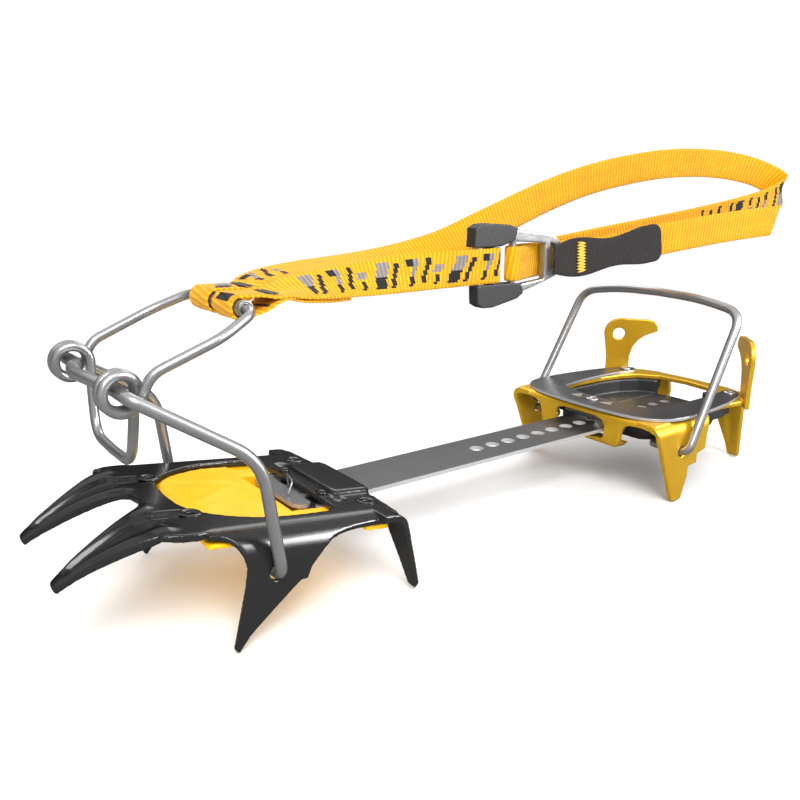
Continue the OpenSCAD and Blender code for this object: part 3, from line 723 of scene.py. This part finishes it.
coil = link_coil()
link_half = rounded([(0.4, TUBE_Y, TUBE_Z), (25.4, TUBE_Y, TUBE_Z), (31, -57.4, 97.2),
                     (29.4, -79.4, 88.6), coil[0]], cuts=[0, 4.5, 5, 4, 0])
link_half += coil[1:]
link_half += rounded([coil[-1], (21.2, -82.6, 74.4), (18, -83.4, 59.4), (0, -83.4, 58.8)],
                     cuts=[0, 3, 7, 0])
wire("toe_link_wire", "toe_link", mirrored(link_half), radius=1.6, sides=20,
     side_axis=(0, 0.2, 1), step=0.5)

tube_verts, tube_quads = lathe([(TUBE_BORE, 0), (TUBE_RADIUS, 0), (TUBE_RADIUS, TUBE_LENGTH),
                                (TUBE_BORE, TUBE_LENGTH)], corner=0.25, sides=36)
add_mesh("strap_tube_rolled",
         [to_scene((z - TUBE_LENGTH / 2, x + TUBE_Y, y + TUBE_Z)) for x, y, z in tube_verts],
         [tuple(reversed(face)) for face in tube_quads], "strap_tube")

# ---------------------------------------------------------------- ankle strap
STRAP_WIDTH, STRAP_THICK = 15.0, 1.2
LOOP_RADIUS = TUBE_RADIUS + 0.25 + STRAP_THICK / 2   # webbing's middle round the tube
TURN_RADIUS = 1.75 + 0.3 + STRAP_THICK / 2           # and round the buckle's cross bars
BUCKLE_X, BUCKLE_Z = -13.3, 105.2
NEAR_BAR_Y, FAR_BAR_Y, BUCKLE_END_Y = 88.6, 99.6, 120.5
LEFT_X, RIGHT_X = BUCKLE_X - TURN_RADIUS, BUCKLE_X + TURN_RADIUS
ACROSS, DOWN = (1, 0, 0), (0, 0, -1)


# A strap station is (middle point, direction of the width).
def tube_loop(x):
    arc = []
    for degrees in range(-80, -261, -20):
        a = math.radians(degrees)
        arc.append(((x, TUBE_Y + LOOP_RADIUS * math.cos(a), TUBE_Z + LOOP_RADIUS * math.sin(a)),
                    ACROSS))
    return [((x, TUBE_Y + 8, TUBE_Z - 1.9), ACROSS)] + arc


def buckle_turn(bar_y, start):
    """Half turn round a buckle bar, from the start angle in degrees."""
    arc = []
    for k in range(9):
        a = math.radians(start + 22.5 * k)
        arc.append(((BUCKLE_X + TURN_RADIUS * math.cos(a), bar_y + TURN_RADIUS * math.sin(a),
                     BUCKLE_Z), DOWN))
    return arc


SHORT_STRAP = [
    ((-4.54, 5, 104.06), (0.743, 0, -0.669)), ((-0.8, -5, 104.05), (0.819, 0, -0.574)),
    ((2.41, -15.2, 104.13), (0.906, 0, -0.423)), ((5.06, -24, 104.14), (0.97, 0, -0.24)),
    ((8, TUBE_Y + 14, TUBE_Z + 0.1), ACROSS),
    *tube_loop(9.5),
    ((8.6, TUBE_Y + 8, TUBE_Z + 3), ACROSS), ((7.4, TUBE_Y + 14, TUBE_Z + 2.1), (1, 0, -0.06)),
    ((5.4, -24, 105.5), (0.97, 0, -0.24)), ((3, -15.2, 105.5), (0.906, 0, -0.423)),
    ((0, -5, 105.4), (0.819, 0, -0.574)), ((-3.6, 5, 105.3), (0.743, 0, -0.669)),
    ((-7.4, 20, 105.1), (0.6, 0, -0.8)), ((-9.6, 36, 105.2), (0.407, 0, -0.914)),
    ((-10.6, 52, 105.3), (0.174, 0, -0.985)), ((RIGHT_X, 68, BUCKLE_Z), DOWN),
    ((RIGHT_X, NEAR_BAR_Y - 1, BUCKLE_Z), DOWN),
    *buckle_turn(NEAR_BAR_Y, 0),
    ((LEFT_X, NEAR_BAR_Y - 3.4, BUCKLE_Z), DOWN), ((LEFT_X, NEAR_BAR_Y - 7, BUCKLE_Z), DOWN),
]
LONG_STRAP = [
    ((-9.5, TUBE_Y + 14, TUBE_Z + 0.3), ACROSS),
    *tube_loop(-9.5),
    ((-10.2, TUBE_Y + 8, TUBE_Z + 3.2), ACROSS),
    ((-11.6, TUBE_Y + 14, TUBE_Z + 2.6), (1, 0, -0.06)),
    ((-15.6, -24, 107.2), (0.995, 0, -0.1)), ((-19.4, -14, 108.4), (0.99, 0, -0.14)),
    ((-23.4, 0, 109), (0.985, 0, -0.174)), ((-29, 18, 108.9), (0.97, 0, -0.242)),
    ((-33.6, 40, 109), (0.927, 0, -0.375)), ((-37, 62, 110.2), (0.839, 0, -0.545)),
    ((-39.6, 85, 113.4), (0.695, 0, -0.719)), ((-42.4, 115, 121.6), (0.407, 0, -0.914)),
    ((-43.4, 150, 132.6), (0.139, 0, -0.99)), ((-42.4, 180, 140.4), DOWN),
    ((-40, 210, 145.6), DOWN), ((-37, 240, 148.6), DOWN), ((-31.4, 270, 148.4), (0.05, 0, -1)),
    ((-23.5, 291, 145), (0.1, 0, -1)), ((-15.6, 302.6, 139.4), (0.12, 0, -1)),
    ((-9, 302.4, 133.6), (0.1, 0, -1)), ((-7.6, 290, 128.6), (0.05, 0, -1)),
    ((-9.2, 266, 123.8), DOWN), ((-11.8, 230, 118.8), DOWN), ((-15.4, 190, 114), DOWN),
    ((-19, 150, 109.4), DOWN), ((-20.6, 130, 106.8), DOWN),
    ((-19.8, BUCKLE_END_Y, 105.5), DOWN), ((-17.2, 108, 105.6), DOWN),
    ((LEFT_X, FAR_BAR_Y + 2, BUCKLE_Z), DOWN),
    *buckle_turn(FAR_BAR_Y, 180),
    ((RIGHT_X - 0.5, FAR_BAR_Y + 3, BUCKLE_Z), DOWN), ((-13.9, 108.4, 105.2), DOWN),
    ((-17.6, 118.6, 105.2), DOWN), ((-17.9, 124, 105.4), DOWN), ((-17.3, 130, 105.8), DOWN),
    ((-14.2, 137, 106.2), DOWN), ((-10.9, 144, 106.8), DOWN), ((-7.4, 152.5, 107.6), DOWN),
    ((-3.4, 172, 110.6), DOWN), ((1, 196, 113.6), DOWN), ((5, 233, 117), DOWN),
    ((10.4, 266.4, 119.4), DOWN),
]
YELLOW = (0.93, 0.50, 0.004, 1)
BLACK = (0.018, 0.018, 0.020, 1)
GREY = (0.30, 0.31, 0.33, 1)


def motif(length, width):
    """Stepped slanted bars in grey and black, on a 40 mm repeat."""
    half_band, cell_length, cell_width, repeat = 5.3, 1.25, 1.18, 32
    if abs(width) > half_band:
        return YELLOW
    row = math.floor((half_band - width) / cell_width)
    column = (math.floor(length / cell_length) + row // 2) % repeat
    if column < 5:
        return BLACK if row >= 5 else GREY
    if 7 <= column < 9:
        return BLACK if row > 0 else YELLOW
    if 12 <= column < 15:
        return BLACK if row < 2 else YELLOW
    if 15 <= column < 17:
        return GREY if row < 6 else BLACK
    if 20 <= column < 22:
        return BLACK if row < 8 else YELLOW
    if 24 <= column < 28:
        if 2 <= row <= 4:
            return GREY
        return BLACK if row >= 6 and column > 25 else YELLOW
    return YELLOW


def short_pattern(length, width):
    if length > 96:
        return motif(length - 16, -width)
    bar = 60 < length < 63 and abs(width) < 4.2 or 41.5 < length < 43 and abs(width) < 6
    return BLACK if bar else YELLOW


def long_pattern(length, width):
    if 26 < length < 62:
        return motif(length + 9, -width)
    return motif(length, width) if 395 < length < 470 else YELLOW


def plain_pattern(length, width):
    return YELLOW


def paint_strap(mesh, places, pattern):
    """Stores each corner's (length, width) in mm and each face's woven colour."""
    mesh.uv_layers.new(name="strap")
    mesh.color_attributes.new("weave", "BYTE_COLOR", "CORNER")
    coordinates, colors = [], []
    for polygon in mesh.polygons:
        corners = [places[k] for k in polygon.vertices]
        color = pattern(sum(c[0] for c in corners) / len(corners),
                        sum(c[1] for c in corners) / len(corners))
        for corner in corners:
            coordinates += corner
            colors += color
    mesh.uv_layers["strap"].data.foreach_set("uv", coordinates)
    mesh.color_attributes["weave"].data.foreach_set("color", colors)
    mesh.update()


def strap(name, node, stations, pattern, width=STRAP_WIDTH, thick=STRAP_THICK, cells=15,
          step=0.45, slant=0.0, rib=2.0, relief=0.14, width_at=lambda fraction: 1,
          material=None):
    """Ribbed ribbon through the stations: cells counts faces across, slant skews the far end,
    width_at scales the width. Returns its middle line and width directions."""
    path = spline([Vector(point) for point, _ in stations])
    sides = spline([Vector(direction) for _, direction in stations])
    path, sides, length = resample(step, path, sides)
    last = len(path) - 1
    ring = [(-1 + 2 * j / cells, 1) for j in range(cells + 1)]
    ring += [(across, -1) for across, _ in reversed(ring)]
    count = len(ring)
    verts, faces, places = [], [], []
    for i, center in enumerate(path):
        along = tangent(path, i)
        side = unit(sides[i] - along * sides[i].dot(along))
        up = along.cross(side)
        s = length * i / last
        half = width * width_at(i / last) / 2
        ends = min(1, min(s, length - s) / 1.5)   # ribs fade out at both ends
        skew = slant * smooth_step(0.97, 1.0, i / last)
        for across, face in ring:
            selvedge = 1 - 0.45 * max(0, (abs(across) - 0.86) / 0.14) ** 2   # thinner edge
            phase = 2 * math.pi * s / rib + across * 3.2 * face
            ribs = relief * (0.5 + 0.5 * math.sin(phase)) * ends
            offset = face * (thick / 2 * selvedge - relief + ribs)
            verts.append(to_scene(center + side * (across * half) + up * offset
                                  + along * (skew * across)))
            places.append((s, across * half))
    for i in range(last):
        for k in range(count):
            a, b = i * count + k, i * count + (k + 1) % count
            faces.append((a, a + count, b + count, b))
    for base, order in ((0, -1), (last * count, 1)):
        for j in range(cells):
            quad = (base + j, base + j + 1, base + count - 2 - j, base + count - 1 - j)
            faces.append(quad[::order])
    obj = add_mesh(name, verts, faces, node, material)
    paint_strap(obj.data, places, pattern)
    return path, sides


strap("short_strap_webbing", "short_strap", SHORT_STRAP, short_pattern)
strap("long_strap_webbing", "long_strap", LONG_STRAP, long_pattern, slant=-3.2)


def bar_tacks():
    """Two zigzag rows of thread across the seam of each tube loop."""
    paths = []
    # middle x, height above the tube's axis, slope of the webbing along y
    for middle, rise, slope in ((7.6, 2.95, -0.09), (-11.5, 3.3, -0.05)):
        for row in range(2):
            y = TUBE_Y + 12.2 + row * 2.2
            z = TUBE_Z + rise + slope * (y - TUBE_Y - 12) + 0.28
            paths.append([Vector((middle - 5.6 + k * 0.31, y + (0.75 if k % 2 else -0.75), z))
                          for k in range(37)])
    return paths


threads("strap_bartacks", "strap_stitching", bar_tacks(), radius=0.2)
soften("buckle_frame", "buckle_frame_cast", rounds=4, factor=0.5)
soften("buckle_sleeves", "buckle_sleeves_moulded", rounds=6, factor=0.5)

# ---------------------------------------------------------------- pull tab
TAB_WIDTH = 17.8
TAB_POINTS = [(-8.8, BUCKLE_END_Y + 1.4, 105.6), (-8.2, 126, 105.8), (-7.1, 133, 106.3),
              (-5.2, 141, 106.8), (-3, 151, 107.8), (-0.4, 164, 109.6), (3.2, 181, 112)]


def tab_width_at(s):
    """Widens from the buckle, narrows to a waist, widens again; the far end is rounded."""
    mean, swing = 15.6, 2.2
    if s < 0.22:
        width = 12.5 + 5.3 * math.sin(math.pi / 2 * s / 0.22)
    elif s < 0.54:
        width = mean + swing * math.cos(math.pi * (s - 0.22) / 0.32)
    elif s < 0.86:
        width = mean - swing * math.cos(math.pi * (s - 0.54) / 0.32)
    else:
        width = TAB_WIDTH
    end = math.sqrt(max(0.0, 1 - (1 - min(1, (1 - s) / 0.07)) ** 2))
    return width / TAB_WIDTH * (end * 0.42 + 0.58)


tab_path, tab_sides = strap(
    "pull_tab_webbing", "pull_tab", [(point, (0, 0, 1)) for point in TAB_POINTS], plain_pattern,
    width=TAB_WIDTH, thick=1.6, cells=22, step=0.3, rib=0.9, relief=0.035,
    width_at=tab_width_at, material="grey_webbing")


def on_tab(y, across, lift):
    """Point on the tab's +X face, nearest to y."""
    i = min(range(len(tab_path)), key=lambda k: abs(tab_path[k].y - y))
    along = tangent(tab_path, i)
    side = unit(tab_sides[i] - along * tab_sides[i].dot(along))
    outward = along.cross(side)
    if outward.x < 0:
        outward = -outward
    return tab_path[i] + side * across + outward * lift


zigzag = [on_tab(136 + (2.1 if k % 2 else -2.1), -6.8 + k * 0.68, lift=1.0) for k in range(21)]
threads("pull_tab_zigzag", "pull_tab_stitching", [spline(zigzag, 3)], radius=0.42)


# ---------------------------------------------------------------- floor, world, lights, camera
WHITE = (1, 1, 1)


def add_floor():
    """Pale floor that fades to pure white for the camera and looks dark in reflections."""
    half, z = 6.0, -0.0006
    mesh = bpy.data.meshes.new("floor")
    mesh.from_pydata([(-half, -half, z), (half, -half, z), (half, half, z), (-half, half, z)],
                     [], [(0, 1, 2, 3)])
    floor = link_object("floor", mesh)
    material, tree, shader, output = new_material("floor")
    base = ramp(tree, noise(tree, 3, 2), (0.3, 0.90), (0.7, 0.92))
    rays = add_node(tree, "LightPath").outputs
    fill(tree, shader, {"Base Color": mix(tree, rays["Is Glossy Ray"], base, (0.16,) * 3),
                        "Roughness": 0.95, "Specular IOR Level": 0.05})
    position = add_node(tree, "NewGeometry").outputs["Position"]
    distance = add_node(tree, "VectorMath", {0: position}, operation="LENGTH").outputs["Value"]
    fade = ramp(tree, distance, (0.22, 0), (0.62, 1))
    glow = add_node(tree, "Emission", {0: WHITE}).outputs[0]
    amount = calc(tree, "MULTIPLY", fade, rays["Is Camera Ray"])
    blend = add_node(tree, "MixShader", {0: amount, 1: shader.outputs[0], 2: glow})
    tree.links.new(blend.outputs[0], output.inputs[0])
    mesh.materials.append(material)


def add_world():
    """White to the camera and as soft light; reflections see a dark horizon under a bright
    ceiling, with a brighter patch towards +X -Y."""
    world = bpy.data.worlds.new("w")
    bpy.context.scene.world = world
    world.use_nodes = True
    tree = world.node_tree
    tree.nodes.clear()
    output = add_node(tree, "OutputWorld")
    background = add_node(tree, "Background", {1: 1.0})
    tree.links.new(background.outputs[0], output.inputs[0])
    direction = add_node(tree, "TexCoord").outputs["Generated"]
    height = add_node(tree, "SeparateXYZ", {0: direction}).outputs[2]
    ceiling = ramp(tree, height, (0.0, 0.02), (0.32, 0.025), (0.52, 0.4), (0.74, 1.15),
                   (1.0, 0.9))
    facing = add_node(tree, "VectorMath", {0: direction, 1: (0.81, -0.58, 0.0)},
                      operation="DOT_PRODUCT").outputs["Value"]
    patch = ramp(tree, facing, (0.0, 0.0), (0.45, 0.18), (1.0, 0.75))
    reflected = mix(tree, 1, ceiling, patch, "LIGHTEN")
    rays = add_node(tree, "LightPath").outputs
    color = mix(tree, rays["Is Glossy Ray"], WHITE, reflected)
    fill(tree, background, {0: mix(tree, rays["Is Camera Ray"], color, WHITE)})


def aim(obj, direction):
    obj.rotation_mode = "QUATERNION"
    obj.rotation_quaternion = direction.to_track_quat("-Z", "Y")


def area_light(name, place, size, power, target=(0, 0, 0.05), height=None):
    light = bpy.data.lights.new(name, "AREA")
    light.energy = power
    light.size = size
    if height:
        light.shape = "RECTANGLE"
        light.size_y = height
    lamp = link_object(name, light)
    lamp.location = place
    aim(lamp, Vector(target) - Vector(place))
    return lamp


def add_camera():
    lens = bpy.data.cameras.new("camera")
    camera = link_object("camera", lens)
    lens.lens = 36.88
    lens.sensor_width = 36
    lens.clip_start = 0.01
    lens.clip_end = 50
    camera.location = to_scene((254.3, -153.9, 144.4))
    turn, rise = math.radians(54.24), math.radians(15.59)
    aim(camera, -Vector((math.sin(turn) * math.cos(rise), -math.cos(turn) * math.cos(rise),
                         math.sin(rise))))
    bpy.context.scene.camera = camera


add_floor()
add_world()
area_light("key", place=(0.62, -0.35, 0.75), size=0.5, power=9.5)
bend_light = area_light("bend", place=(0.60, 0.46, 0.42), target=(0.04, -0.145, 0.025),
                        size=0.34, height=0.40, power=14.0)
bend_light.visible_diffuse = False
area_light("rim", place=(-0.7, 0.5, 0.7), size=0.5, power=2.5)
add_camera()
bpy.context.scene.view_settings.view_transform = "Standard"
